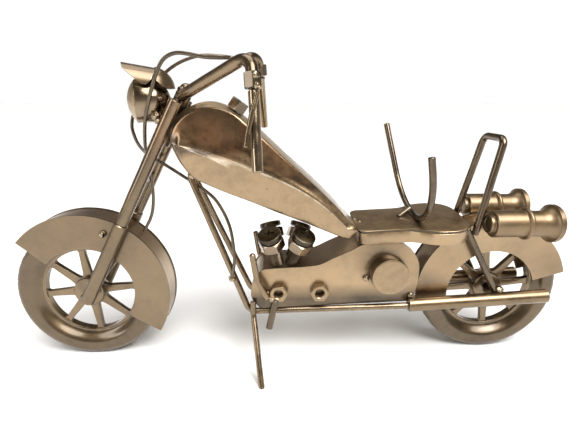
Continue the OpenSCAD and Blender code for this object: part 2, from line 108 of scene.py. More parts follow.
def sweep(path, d, sides=24, chamfer=0.4, wander=0.07, bore=0.0, depth=0.0):
    """Round bar along a path, with chamfered ends; a bore makes its last end hollow to that depth."""
    pts = [Vector(p) for p in path]
    n = len(pts)
    tangents = [unit(pts[min(i + 1, n - 1)] - pts[max(i - 1, 0)]) for i in range(n)]
    stations = [(pts[0], tangents[0], d / 2 - chamfer), (pts[0] + tangents[0] * chamfer, tangents[0], d / 2)]
    stations += [(p, t, d / 2) for p, t in zip(pts[1:-1], tangents[1:-1])]
    end, last = pts[-1], tangents[-1]
    stations += [(end - last * chamfer, last, d / 2), (end, last, d / 2 - chamfer)]
    if bore:
        stations += [(end, last, bore / 2), (end - last * depth, last, bore / 2)]
    side = across(stations[0][1])[0]
    verts, faces = [], []
    for i, (p, t, r) in enumerate(stations):
        side = unit(side - t * side.dot(t))
        other = t.cross(side)
        inner = 2 <= i < len(stations) - 2
        if inner and wander:
            p = p + noise.noise_vector(p * 0.06) * wander
            r = r * (1 + 0.02 * noise.noise(p * 0.15))
        for k in range(sides):
            a = 2 * math.pi * k / sides
            verts.append(p + r * (math.cos(a) * side + math.sin(a) * other))
    for i in range(len(stations) - 1):
        for k in range(sides):
            a, b = i * sides + k, i * sides + (k + 1) % sides
            faces.append((a, b, b + sides, a + sides))
    faces.append(tuple(range(sides))[::-1])
    faces.append(tuple((len(stations) - 1) * sides + k for k in range(sides)))
    return verts, faces


def lathe(profile, at, axis, steps=72, closed=False, wobble=None):
    """Turned shape: (radius, height) points about an axis; closed joins the last point to the first."""
    u, v = across(axis)
    w = unit(axis)
    verts, faces, rings = [], [], []
    for r, h in profile:
        base = Vector(at) + w * h
        if r < 1e-6:
            rings.append([len(verts)] * steps)
            verts.append(base)
            continue
        rings.append(list(range(len(verts), len(verts) + steps)))
        for k in range(steps):
            a = 2 * math.pi * k / steps
            rr = r + (wobble(a, r, h) if wobble else 0)
            verts.append(base + rr * (math.cos(a) * u + math.sin(a) * v))
    pairs = list(zip(rings, rings[1:])) + ([(rings[-1], rings[0])] if closed else [])
    for low, high in pairs:
        for k in range(steps):
            j = (k + 1) % steps
            quad = [low[k], low[j], high[j], high[k]]
            quad = [q for i, q in enumerate(quad) if q not in quad[:i]]
            if len(quad) > 2:
                faces.append(tuple(quad))
    return verts, faces


def slab(outline, thick, matrix, edge=0.25):
    """Plate with a closed 2-D outline, rounded edges, and its middle plane on the matrix's XY plane."""
    curve = bpy.data.curves.new("outline", "CURVE")
    curve.dimensions = "2D"
    curve.fill_mode = "BOTH"
    curve.extrude = thick / 2 - edge
    curve.bevel_depth = edge
    curve.bevel_resolution = 2
    curve.offset = -edge
    line = curve.splines.new("POLY")
    line.points.add(len(outline) - 1)
    for point, p in zip(line.points, outline):
        point.co = (p[0], p[1], 0, 1)
    line.use_cyclic_u = True
    holder = bpy.data.objects.new("outline", curve)
    bpy.context.scene.collection.objects.link(holder)
    bpy.context.view_layer.update()
    mesh = bpy.data.meshes.new_from_object(holder.evaluated_get(bpy.context.evaluated_depsgraph_get()))
    verts = [matrix @ v.co for v in mesh.vertices]
    faces = [tuple(p.vertices) for p in mesh.polygons]
    bpy.data.objects.remove(holder)
    bpy.data.curves.remove(curve)
    bpy.data.meshes.remove(mesh)
    return verts, faces


def upright(y):
    """Matrix that stands a drawing of X and Z up at that Y."""
    return Matrix(((1, 0, 0, 0), (0, 0, -1, y), (0, 1, 0, 0), (0, 0, 0, 1)))


def grid(rows, wrap=False, caps=False):
    """Surface over equal rows of points; wrap closes each row, and caps close the ends."""
    width = len(rows[0])
    verts = [Vector(p) for row in rows for p in row]
    faces = []
    for i in range(len(rows) - 1):
        for k in range(width if wrap else width - 1):
            a, b = i * width + k, i * width + (k + 1) % width
            faces.append((a, b, b + width, a + width))
    if caps:
        faces.append(tuple(range(width))[::-1])
        faces.append(tuple((len(rows) - 1) * width + k for k in range(width)))
    return verts, faces


def ring_bar(at, r0, r1, arc, y0, y1, steps=72):
    """Bar of rectangular section bent round Y, over an arc counted from straight back, upwards."""
    rows = []
    for i in range(steps + 1):
        a = math.radians(arc[0] + (arc[1] - arc[0]) * i / steps)
        c, s = math.cos(a), math.sin(a)
        rows.append([(at[0] + r * c, y, at[2] + r * s) for r, y in ((r0, y0), (r1, y0), (r1, y1), (r0, y1))])
    return grid(rows, wrap=True, caps=True)


def blob(at, r, seed, squash=(1, 1, 1), rough=0.22):
    """Lump of weld metal."""
    bm = bmesh.new()
    bmesh.ops.create_icosphere(bm, subdivisions=4, radius=1.0)
    verts = []
    for v in bm.verts:
        n = v.co.normalized()
        swell = 1 + rough * noise.noise(n * 1.7 + Vector((seed, 2.1 * seed, 0)))
        swell += rough * 0.35 * noise.noise(n * 5.0 + Vector((0, seed, seed)))
        verts.append(Vector(at) + Vector((n.x * squash[0], n.y * squash[1], n.z * squash[2])) * r * swell)
    faces = [tuple(v.index for v in f.verts) for f in bm.faces]
    bm.free()
    return verts, faces


def moved(shape, matrix):
    return [matrix @ Vector(v) for v in shape[0]], shape[1]


def make(name, shapes, material, nodes=None, body="root", bevel=0.0, sharp=SHARP_DEG):
    """One visible piece from several shapes. It stands for the CAD nodes, and rides on their body."""
    bm = bmesh.new()
    for verts, faces in shapes:
        made = [bm.verts.new(Vector(v) * MM) for v in verts]
        for f in faces:
            corners = [made[i] for i in f]
            if len(set(corners)) > 2:
                bm.faces.new(corners)
    bmesh.ops.remove_doubles(bm, verts=bm.verts, dist=1e-6)
    bmesh.ops.recalc_face_normals(bm, faces=bm.faces)
    if bevel:
        edges = [e for e in bm.edges if len(e.link_faces) == 2 and e.calc_face_angle() > math.radians(sharp)]
        bmesh.ops.bevel(bm, geom=edges, offset=bevel * MM, offset_type="OFFSET", segments=2, profile=0.6,
                        affect="EDGES", clamp_overlap=True)
    mesh = bpy.data.meshes.new(name)
    bm.to_mesh(mesh)
    bm.free()
    mesh.materials.append(material)
    mesh.polygons.foreach_set("use_smooth", [True] * len(mesh.polygons))
    mesh.set_sharp_from_angle(angle=math.radians(sharp))
    piece = bpy.data.objects.new(name, mesh)
    bpy.context.scene.collection.objects.link(piece)
    if bevel:
        weighted = piece.modifiers.new("normals", "WEIGHTED_NORMAL")
        weighted.keep_sharp = True
    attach(piece, body)
    for node in nodes or []:
        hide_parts(node)
    return piece


def plain(node, shapes, material, body="root", bevel=0.0, sharp=SHARP_DEG):
    """A visible piece that is named after the one CAD node it replaces."""
    return make(f"{node}_look", shapes, material, [node], body, bevel, sharp)


# ---- materials ----
def add(tree, kind, **inputs):
    node = tree.nodes.new(kind)
    for key, value in inputs.items():
        name = key.replace("_", " ")
        if isinstance(value, bpy.types.NodeSocket):
            tree.links.new(value, node.inputs[name])
        else:
            node.inputs[name].default_value = value
    return node


def ramp(tree, value, stops):
    node = tree.nodes.new("ShaderNodeValToRGB")
    tree.links.new(value, node.inputs["Fac"])
    while len(node.color_ramp.elements) < len(stops):
        node.color_ramp.elements.new(0.5)
    for element, (place, colour) in zip(node.color_ramp.elements, stops):
        element.position = place
        element.color = (*colour, 1) if len(colour) == 3 else colour
    return node.outputs["Color"]


def grey(x):
    return (x, x, x)


def maths(tree, operation, a, b=None, clamp=False):
    node = tree.nodes.new("ShaderNodeMath")
    node.operation = operation
    node.use_clamp = clamp
    for socket, value in zip(node.inputs, (a, b)):
        if isinstance(value, bpy.types.NodeSocket):
            tree.links.new(value, socket)
        elif value is not None:
            socket.default_value = value
    return node.outputs[0]


def mix(tree, share, a, b, blend="MIX"):
    node = tree.nodes.new("ShaderNodeMix")
    node.data_type = "RGBA"
    node.blend_type = blend
    for socket, value in ((node.inputs[0], share), (node.inputs[6], a), (node.inputs[7], b)):
        if isinstance(value, bpy.types.NodeSocket):
            tree.links.new(value, socket)
        elif isinstance(value, (tuple, list)):
            socket.default_value = (*value, 1)
        else:
            socket.default_value = value
    return node.outputs[2]


def tone(colour, share):
    return tuple(c * share for c in colour)


BRONZE = (0.47, 0.325, 0.178)
# Bare metal at rubbed edges, also the colour of the painted rim highlight
BARE_AND_SHEEN = (0.78, 0.68, 0.52)
# Dark of pits, and of painted shade in corners, gaps and low on the engine case
DIRT_AND_SHADE = (0.05, 0.035, 0.02)


def paint_crease_heat_and_reflection(tree, place, patch, cloud, colour):
    """Heat tint and painted reflection above the tank crease: a dark band along it that is a painted
    reflection of the dark room, then copper and brown blotches, partly heat tint and partly painted
    reflection.
    """
    parts = add(tree, "ShaderNodeSeparateXYZ", Vector=place)
    x, z = parts.outputs["X"], parts.outputs["Z"]
    bend = maths(tree, "MULTIPLY", maths(tree, "MULTIPLY", x, x), CREASE_BEND)
    line = maths(tree, "ADD", maths(tree, "MULTIPLY", x, CREASE_SLOPE), bend)
    above = maths(tree, "SUBTRACT", z, maths(tree, "ADD", line, (CREASE_Z + CREASE_BAND_LIFT) * MM))
    above = maths(tree, "MULTIPLY", above, 1 / (40 * MM))
    ragged = maths(tree, "MULTIPLY", maths(tree, "SUBTRACT", patch, 0.5), 0.22)
    wide = maths(tree, "MULTIPLY", maths(tree, "SUBTRACT", cloud, 0.5), 0.95)
    height = maths(tree, "ADD", above, maths(tree, "ADD", ragged, wide))
    share = ramp(tree, height, [(0.0, grey(0.0)), (0.12, grey(0.93)), (0.3, grey(0.8)), (0.45, grey(0.7)),
                                (0.8, grey(0.85))])
    tint = ramp(tree, height, [(0.03, (0.05, 0.03, 0.014)), (0.14, (0.06, 0.033, 0.015)),
                               (0.34, (0.2, 0.1, 0.042)), (0.56, (0.14, 0.066, 0.027)),
                               (0.8, (0.1, 0.06, 0.028))])
    return mix(tree, share, colour, tint)


def lacquer(name, base=BRONZE, rough=0.3, wear_and_rim_sheen=0.5, mottle=0.25, dents=0.35, coat=0.5, tints=(), pits=True,
            painted_corner_shade=0.75, edge=0.35, fades=(), heat_and_dark_reflection=False,
            seam=None):
    """Tinted lacquer over steel: cloudy colour, bright edges (rubbed metal and a painted rim highlight),
    painted shade in corners and gaps, pits and faint dents.

    tints: patches of tint, painted shadows and painted highlights among them, as (colour, centre in mm,
    radius in mm, share).
    fades: tints across a whole piece, as (axis, full, gone, colour, share), between two places in mm.
    seam: (axis, share) of darkening on the faces of a sheet that don't look along that axis."""
    material = bpy.data.materials.new(name)
    material.use_nodes = True
    tree = material.node_tree
    shader = tree.nodes["Principled BSDF"]
    place = tree.nodes.new("ShaderNodeTexCoord").outputs["Object"]
    cloud = add(tree, "ShaderNodeTexNoise", Vector=place, Scale=38.0, Detail=4.0, Roughness=0.55)
    cloud = cloud.outputs["Fac"]
    patch = add(tree, "ShaderNodeTexNoise", Vector=place, Scale=210.0, Detail=5.0, Roughness=0.62)
    patch = patch.outputs["Fac"]
    grain = add(tree, "ShaderNodeTexNoise", Vector=place, Scale=1900.0, Detail=3.0).outputs["Fac"]
    both = maths(tree, "ADD", maths(tree, "MULTIPLY", cloud, 0.62), maths(tree, "MULTIPLY", patch, 0.38))
    low, high = 1 - mottle, 1 + mottle * 0.6
    colour = ramp(tree, both, [(0.34, tone(base, low)), (0.5, base), (0.66, tone(base, high))])
    # painted reflection and heat tint above the tank crease
    if heat_and_dark_reflection:
        colour = paint_crease_heat_and_reflection(tree, place, patch, cloud, colour)
    for tint, centre, radius, share in tints:
        away = add(tree, "ShaderNodeVectorMath", Vector=place)
        away.operation = "DISTANCE"
        away.inputs[1].default_value = Vector(centre) * MM
        fall = add(tree, "ShaderNodeMapRange", Value=away.outputs["Value"], From_Min=radius * MM,
                   From_Max=0.0, To_Min=0.0, To_Max=share)
        blotch = maths(tree, "MULTIPLY", fall.outputs["Result"],
                       ramp(tree, patch, [(0.3, grey(0.55)), (0.62, grey(1.0))]), clamp=True)
        colour = mix(tree, blotch, colour, tint)
    for axis, full, gone, tint, share in fades:
        parts = add(tree, "ShaderNodeSeparateXYZ", Vector=place)
        fall = add(tree, "ShaderNodeMapRange", Value=parts.outputs[axis], From_Min=gone * MM,
                   From_Max=full * MM, To_Min=0.0, To_Max=share)
        blotch = maths(tree, "MULTIPLY", fall.outputs["Result"],
                       ramp(tree, cloud, [(0.35, grey(0.7)), (0.6, grey(1.0))]), clamp=True)
        colour = mix(tree, blotch, colour, tint)
    if pits:
        cell = add(tree, "ShaderNodeTexVoronoi", Vector=place, Scale=150.0)
        dot = ramp(tree, cell.outputs["Distance"], [(0.035, grey(1.0)), (0.07, grey(0.0))])
        chosen = maths(tree, "GREATER_THAN", cell.outputs["Color"], 0.72)
        speck = maths(tree, "MULTIPLY", dot, chosen)
        colour = mix(tree, maths(tree, "MULTIPLY", speck, 0.7), colour, DIRT_AND_SHADE)
    # bright edges: rubbed metal, and on the cap and screw heads a painted rim highlight
    soft = add(tree, "ShaderNodeBevel", Radius=edge * MM)
    soft.samples = 6
    facing = tree.nodes.new("ShaderNodeVectorMath")
    facing.operation = "DOT_PRODUCT"
    tree.links.new(soft.outputs["Normal"], facing.inputs[0])
    tree.links.new(tree.nodes.new("ShaderNodeNewGeometry").outputs["Normal"], facing.inputs[1])
    rim = maths(tree, "SUBTRACT", 1.0, facing.outputs["Value"], clamp=True)
    edge_wear_and_sheen = maths(tree, "MULTIPLY", ramp(tree, rim, [(0.02, grey(0.0)), (0.16, grey(1.0))]),
                 ramp(tree, patch, [(0.36, grey(0.1)), (0.6, grey(1.0))]))
    edge_wear_and_sheen = maths(tree, "MULTIPLY", edge_wear_and_sheen, wear_and_rim_sheen)
    colour = mix(tree, edge_wear_and_sheen, colour, BARE_AND_SHEEN)
    if seam:
        normal = tree.nodes.new("ShaderNodeTexCoord").outputs["Normal"]
        parts = add(tree, "ShaderNodeSeparateXYZ", Vector=normal)
        level = maths(tree, "ABSOLUTE", parts.outputs[seam[0]])
        colour = mix(tree, ramp(tree, level, [(0.3, grey(seam[1])), (0.6, grey(0.0))]), colour, DIRT_AND_SHADE)
    # painted shade: ambient occlusion darkens the colour in corners, gaps and thread roots
    shade = add(tree, "ShaderNodeAmbientOcclusion", Distance=3.5 * MM)
    shade.samples = 6
    corner_shade_mask = ramp(tree, shade.outputs["AO"], [(0.25, grey(painted_corner_shade)), (0.8, grey(0.0))])
    colour = mix(tree, corner_shade_mask, colour, DIRT_AND_SHADE)
    tree.links.new(colour, shader.inputs["Base Color"])
    haze = add(tree, "ShaderNodeMapRange", Value=patch, From_Min=0.3, From_Max=0.7, To_Min=rough - 0.05,
               To_Max=rough + 0.09).outputs["Result"]
    haze = maths(tree, "ADD", haze, maths(tree, "MULTIPLY", corner_shade_mask, 0.35), clamp=True)
    tree.links.new(haze, shader.inputs["Roughness"])
    fine, broad = maths(tree, "MULTIPLY", grain, 0.10), maths(tree, "MULTIPLY", cloud, dents * 2.2)
    height = maths(tree, "ADD", fine, broad)
    height = maths(tree, "ADD", height, maths(tree, "MULTIPLY", patch, dents * 0.35))
    if pits:
        height = maths(tree, "SUBTRACT", height, maths(tree, "MULTIPLY", speck, 0.6))
    bump = add(tree, "ShaderNodeBump", Height=height, Strength=0.35, Distance=0.3 * MM)
    tree.links.new(bump.outputs["Normal"], shader.inputs["Normal"])
    shader.inputs["Metallic"].default_value = 1.0
    shader.inputs["Coat Weight"].default_value = coat
    shader.inputs["Coat Roughness"].default_value = 0.13
    shader.inputs["Coat IOR"].default_value = 1.7
    return material


COPPER = (0.3, 0.155, 0.075)
UMBER = (0.13, 0.078, 0.04)
SHADE = (0.055, 0.036, 0.019)
# Crease of the tank as a curve of height over length: height at X = 0, slope, and bend per metre
CREASE_Z = 117.0
CREASE_SLOPE = -0.545
CREASE_BEND = -4.3
# How far above the crease the painted reflection band and heat tint start
CREASE_BAND_LIFT = 1.5
PLATE = lacquer("plate_bronze", tone(BRONZE, 0.6), rough=0.34, dents=0.3)
# The lighter patch at the rear of the visor is a painted highlight
VISOR = lacquer("visor_bronze", tone(BRONZE, 0.36), rough=0.36, dents=0.3,
                tints=[((0.34, 0.24, 0.14), (-66, 0, 172), 10, 0.9)])
# The front fender sheets are a darker bronze than the rear ones as painted shade, with a painted shadow at
# their upper rear
FENDER_FRONT = lacquer("front_fender_bronze", tone(BRONZE, 0.4), rough=0.36, dents=0.5,
                       tints=[(SHADE, (-100, -10, 100), 22, 0.55),
                              ((0.25, 0.18, 0.1), (-90, -10, 40), 34, 0.5)],
                       seam=("Y", 0.9))
# The fender bands are a lighter bronze than the fender sheets, painted light on the top faces, with painted
# shadows in patches
FENDER_BAND = lacquer("fender_band_bronze", tone(BRONZE, 0.74), rough=0.36, dents=0.4,
                      tints=[(SHADE, (-124, 0, 98.5), 21, 0.9), (SHADE, (80, 0, 60), 20, 0.8)])
# On the rear fender, a painted shadow low at the front and a lighter patch in the upper middle that is a
# painted highlight
FENDER_REAR = lacquer("rear_fender_bronze", tone(BRONZE, 0.66), rough=0.34, dents=0.4,
                      tints=[(SHADE, (86, -10, 45), 17, 0.9), (UMBER, (172, -10, 62), 20, 0.45),
                             ((0.5, 0.36, 0.2), (122, -10, 84), 26, 0.5)], seam=("Y", 0.9))
# On the engine case, painted shadows round the cap and at the front, and painted shade that darkens the
# bottom and the rear end
CASE = lacquer("case_bronze", tone(BRONZE, 0.78), rough=0.34, dents=0.4,
               tints=[(SHADE, (56, -16, 70), 19, 0.95), (SHADE, (-23, -16, 58), 9, 0.5)],
               fades=[("Z", 44, 54, DIRT_AND_SHADE, 1.0), ("X", 82, 72, SHADE, 0.35)], seam=("Y", 0.9))
# The bright rim of the cap is a painted highlight as well as rubbed metal
CAP = lacquer("cap_bronze", tone(BRONZE, 0.66), rough=0.34, wear_and_rim_sheen=0.8, dents=0.35, edge=0.6, seam=("Y", 0.75))
CASE_BAND = lacquer("case_band_bronze", tone(BRONZE, 0.62), rough=0.4, dents=0.3)
SEAT = lacquer("seat_bronze", tone(BRONZE, 0.72), rough=0.38, dents=0.3,
               tints=[(UMBER, (73, -6, 92), 15, 0.6)], seam=("Z", 0.9))
SKIRT = lacquer("skirt_bronze", tone(BRONZE, 0.74), rough=0.38, dents=0.3,
                tints=[(SHADE, (41, -20, 82), 8, 0.8)])
ROD = lacquer("rod_bronze", tone(BRONZE, 0.42), rough=0.24, mottle=0.4, wear_and_rim_sheen=0.35, dents=0.5)
DARK_ROD = lacquer("dark_rod_bronze", tone(BRONZE, 0.22), rough=0.27, mottle=0.4, wear_and_rim_sheen=0.3, dents=0.5)
FORK = lacquer("fork_bronze", tone(BRONZE, 0.34), rough=0.24, mottle=0.3, wear_and_rim_sheen=0.3, dents=0.3,
               tints=[(COPPER, (-72, -14, 148), 26, 0.4), (SHADE, (-84, -14, 128), 22, 0.4)])
SLIDER = lacquer("slider_bronze", tone(BRONZE, 0.34), rough=0.33, mottle=0.3, wear_and_rim_sheen=0.3, dents=0.3)
# Tank tints on the near side: a light gold patch that is a painted sheen, copper patches partly heat tint and
# partly painted reflection, and a dark spot of painted reflection
TANK = lacquer("tank_bronze", tone(BRONZE, 0.66), rough=0.28, mottle=0.3, dents=1.1, heat_and_dark_reflection=True,
              tints=[((0.36, 0.18, 0.085), (-46, -20, 148), 11, 0.75),
                     ((0.4, 0.29, 0.15), (-58, -18, 143), 6, 0.7),
                     ((0.34, 0.17, 0.08), (-34, -20, 138), 9, 0.6), (SHADE, (-28, -20, 144), 9, 0.5)])
TANK_BAND = lacquer("tank_band_bronze", (0.55, 0.42, 0.26), rough=0.36, dents=0.25)
TYRE = lacquer("tyre_bronze", tone(BRONZE, 0.25), rough=0.33, mottle=0.3, dents=0.12)
WHEEL = lacquer("wheel_bronze", tone(BRONZE, 0.38), rough=0.3, mottle=0.35, dents=0.3)
CANISTER = lacquer("canister_bronze", tone(BRONZE, 0.44), rough=0.42, mottle=0.3, dents=0.3, coat=0.25)
MUFFLER = lacquer("muffler_bronze", tone(BRONZE, 0.43), rough=0.34, mottle=0.3, dents=0.3, coat=0.35)
FUEL_CAP = lacquer("fuel_cap_bronze", tone(BRONZE, 0.2), rough=0.27, mottle=0.3,
                   tints=[(COPPER, (-37, -9.5, 162), 7, 0.9)], wear_and_rim_sheen=0.3)
# The bright rims of the screw heads are a painted highlight as well as rubbed metal
BLACK = lacquer("black_screw", (0.05, 0.037, 0.022), rough=0.32, mottle=0.4, wear_and_rim_sheen=1.0, dents=0.2,
                painted_corner_shade=0.5, edge=0.5, coat=0.2)
THREAD = lacquer("thread_steel", (0.11, 0.078, 0.046), rough=0.36, mottle=0.3, wear_and_rim_sheen=0.8, dents=0.1,
                 pits=False, painted_corner_shade=0.95, coat=0.2)
NUT = lacquer("bright_nut", (0.24, 0.175, 0.11), rough=0.22, mottle=0.3, wear_and_rim_sheen=0.8, dents=0.2)
BEAD = lacquer("weld_metal", (0.32, 0.245, 0.15), rough=0.26, mottle=0.45, wear_and_rim_sheen=0.4, dents=1.2)
WIRE = lacquer("wire_lacquer", (0.1, 0.072, 0.044), rough=0.3, mottle=0.45, wear_and_rim_sheen=0.3, dents=0.3)
GRIP = lacquer("grip_plate", (0.3, 0.225, 0.14), rough=0.13, mottle=0.2, wear_and_rim_sheen=0.2, dents=0.15)
LENS = lacquer("lens_bronze", (0.38, 0.28, 0.17), rough=0.36, mottle=0.2, dents=0.2)
CHROME = lacquer("headlight_bronze", (0.2, 0.145, 0.088), rough=0.16, mottle=0.35, dents=0.6)


# ---- frame, engine and small rods ----
def build_frame():
    for name, s in SIDES.items():
        path = even(bent([(-60.5, s * 4.5, 120), (-27, s * 14.4, 35), (76, s * 17.4, 38.9)], 7), 4)
        plain(f"frame_rod_{name}", [sweep(path, 4)], ROD)
        path = bent([(-24, s * 20.5, 77), (-21.5, s * 20.5, 60), (-14.8, s * 20.5, 46.4)], 9)
        plain(f"lever_rod_{name}", [sweep(even(path, 3), 3.8, chamfer=0.9)], ROD)
        path = even([(107, s * 14, 89.5), (130.6, s * 14.8, 47)], 4)
        plain(f"rear_strut_{name}", [sweep(path, 4)], DARK_ROD)
    pegs = [sweep(even([(-10.2, s * 19.5, 45.4), (-14.6, s * 22.5, 27)], 3), 4.2) for s in (-1, 1)]
    plain("foot_pegs", pegs, DARK_ROD)
    knee, toe = Vector((-24.3, -18.5, 34)), Vector((-18.6, -44.4, -3))
    stand = sweep(even(bent([(-24.5, -16.6, 43), knee, toe], 8), 3), 3.7, chamfer=0.2)
    lean = (toe - knee) / (toe - knee).z
    cut = [v if v.z > 0 else v - lean * v.z for v in stand[0]]
    plain("kickstand", [(cut, stand[1])], ROD)


CASE_OUTLINE = [
    (-20, 37.3), (-25, 44), (-25.5, 50), (-24, 58), (-20, 63), (-16, 64.5), (-2, 65.2),
    (11, 66), (18, 67.5), (27, 72), (36, 76), (44, 80), (58, 82), (70, 79.5),
    (76.5, 73), (79.5, 66), (79.8, 56), (78, 46), (74, 41),
]


def build_case():
    half = 15.5
    outline = spline(CASE_OUTLINE, 6)
    for name, s in SIDES.items():
        plate = slab(outline, SHEET, upright(s * (half - SHEET / 2)))
        plain(f"engine_case_{name}", [plate], CASE)
    middle = Vector((27, 60))
    rows = []
    edge = half - SHEET + 0.05
    for y, share in ((-edge, 0.985), (edge, 0.985), (half - 1, 0.955), (1 - half, 0.955)):
        rows.append([(p[0], y, p[1]) for p in (middle + (q - middle) * share for q in outline)])
    plain("engine_case_band", [grid(rows + [rows[0]], wrap=True)], CASE_BAND)
    caps = []
    for s in (-1, 1):
        r, h = 11.5, 9.0
        profile = [(0, -0.5), (r, -0.5), (r, h - 0.8), (r - 0.25, h - 0.25), (r - 0.8, h),
                   (r - 1.6, h + 0.02), (0.6 * r, h - 0.05), (0.3 * r, h - 0.02), (0, h)]
        caps.append(lathe(profile, (59.7, s * half, 62), (0, s, 0), 96))
    plain("case_caps", caps, CAP)


def hex_nut(across_flats, hole, h, turn=0.0, steps=96, thread=True):
    """Hexagon nut along +Z with chamfered corners and a ridged bore."""
    flat = across_flats / 2
    ring = flat * 0.985

    def radius(a):
        b = (a - turn + math.pi / 6) % (math.pi / 3) - math.pi / 6
        return flat / math.cos(b)

    chamfer, ridge, ridge_pitch = 0.45, 0.22, 0.4
    bore = hole / 2
    lip = bore + chamfer
    profile = [(bore, 0.5), (lip, 0.0), (ring, 0.0), ("hex", "low"), ("hex", "high"), (ring, h), (lip, h)]
    profile.append((bore, h - 0.5))
    if thread:
        for k in range(1, int((h - 1) / ridge_pitch)):
            z = h - 0.5 - k * ridge_pitch
            profile.append((bore + (ridge if round(h / ridge_pitch - z / ridge_pitch) % 2 else 0), z))
    rows = []
    for reach, z in profile:
        row = []
        for k in range(steps):
            a = 2 * math.pi * k / steps
            r = radius(a) if reach == "hex" else reach
            drop = max(0.0, radius(a) - ring) * 0.6
            height = drop if z == "low" else h - drop if z == "high" else z
            row.append((r * math.cos(a), r * math.sin(a), height))
        rows.append(row)
    return grid(rows + [rows[0]], wrap=True)


def pan_screw(shank, length, head_d):
    """Black machine screw along +Z: a helical thread, and a pan head with a cross recess."""
    pitch, steps, per_turn = 1.25, 48, 10
    rows = []
    for i in range(int(length / pitch * per_turn) + 1):
        z = i * pitch / per_turn
        row = []
        for k in range(steps):
            a = 2 * math.pi * k / steps
            phase = (z / pitch - k / steps) % 1.0
            r = shank / 2 - 0.7 * abs(2 * phase - 1)
            row.append((r * math.cos(a), r * math.sin(a), z))
        rows.append(row)
    thread = grid(rows, wrap=True, caps=True)
    r, low = head_d / 2, length - 0.5
    profile = [(shank / 2 - 0.6, 0), (r - 0.5, 0), (r, 0.5), (r, 2.6), (r - 0.25, 3.1), (r - 0.8, 3.35)]
    flat = r - 0.8
    profile += [(flat - flat * k / 30, 3.35 + 0.5 * math.sin(k / 30 * math.pi / 2)) for k in range(1, 31)]
    rows = []
    for q, z in profile:
        row = []
        for k in range(144):
            a = 2 * math.pi * k / 144
            x, y = max(q, 1e-3) * math.cos(a), max(q, 1e-3) * math.sin(a)
            arm = min(abs(x), abs(y))
            reach = max(abs(x), abs(y))
            wide = 0.7 + 0.6 * max(0.0, 1 - reach / 1.9)
            deep = 2.2 * max(0.0, min(1.0, (wide - arm) / 0.28)) * max(0.0, min(1.0, (3.9 - reach) / 0.8))
            row.append((x, y, low + z - (deep if z > 3.3 else 0)))
        rows.append(row)
    verts, faces = grid(rows, wrap=True)
    faces.append(tuple(range(144))[::-1])
    faces.append(tuple(len(verts) - 144 + k for k in range(144)))
    return [thread, (verts, faces)]


def build_cylinders():
    heads, threads, nuts = [], [], []
    splay = math.radians(22)
    for s in (-1, 1):
        for x, lean, turn in ((-8.6, -13, 0.35), (-0.4, 20, 0.1)):
            foot = Matrix.Translation((x, s * 6.8, 63.3 - 1.7 * s))
            place = foot @ Matrix.Rotation(math.radians(lean), 4, "Y") @ Matrix.Rotation(-s * splay, 4, "X")
            twist = Matrix.Rotation(turn + 0.4 * s, 4, "Z")
            thread, head = pan_screw(8, 22.8, 14.4)
            threads.append(moved(thread, place @ twist))
            heads.append(moved(head, place @ twist))
            nuts.append(moved(hex_nut(14, 8.1, 6.6, turn), place @ Matrix.Translation((0, 0, 14.6))))
    make("cylinder_heads_look", heads, BLACK, ["cylinder_screws"], sharp=30)
    make("cylinder_threads_look", threads, THREAD, ["cylinder_screws"], sharp=50)
    plain("cylinder_nuts", nuts, NUT, sharp=25)
    side = []
    for s in (-1, 1):
        for x in (-8.5, 17.2):
            stand = Matrix.Translation((x, s * 15.5, 49.6)) @ Matrix.Rotation(math.radians(-90 * s), 4, "X")
            side.append(moved(hex_nut(10, 5.6, 5, math.radians(30)), stand))
    plain("side_nuts", side, PLATE, sharp=25)


# ---- tank and seat ----
TANK_OUTLINE = [
    (39.5, 89.5), (33.5, 96), (28.5, 102), (16.5, 114), (4.5, 125), (-6.5, 135),
    (-15.5, 143.5), (-24, 151), (-30, 156), (-36, 159.3), (-42, 161), (-48, 160.8),
    (-54, 159), (-59.5, 156), (-64, 151.5), (-66.5, 146.5), (-67, 141), (-65.5, 136),
    (-62.5, 130), (-58.5, 124.5), (-53.5, 120.5), (-39.5, 114), (-24.5, 108),
    (-10.5, 102), (4.5, 96), (17.5, 90.5), (29.5, 85.5), (35, 84.5),
]
# Crease along each tank side, from its front to its tail
TANK_CREASE = [
    (-63, 141), (-50.5, 138.6), (-37.2, 134.1), (-23.6, 128.5), (-9.8, 122.8), (4.3, 115.8),
    (18.7, 105.7), (33, 91.5),
]
TANK_HALF = 16.5


def nearest_on(line, p):
    best = None
    for a, b in zip(line, line[1:]):
        t = max(0.0, min(1.0, (p - a).dot(b - a) / (b - a).length_squared))
        q = a.lerp(b, t)
        if best is None or (q - p).length < best[0]:
            best = ((q - p).length, q)
    return best[1]


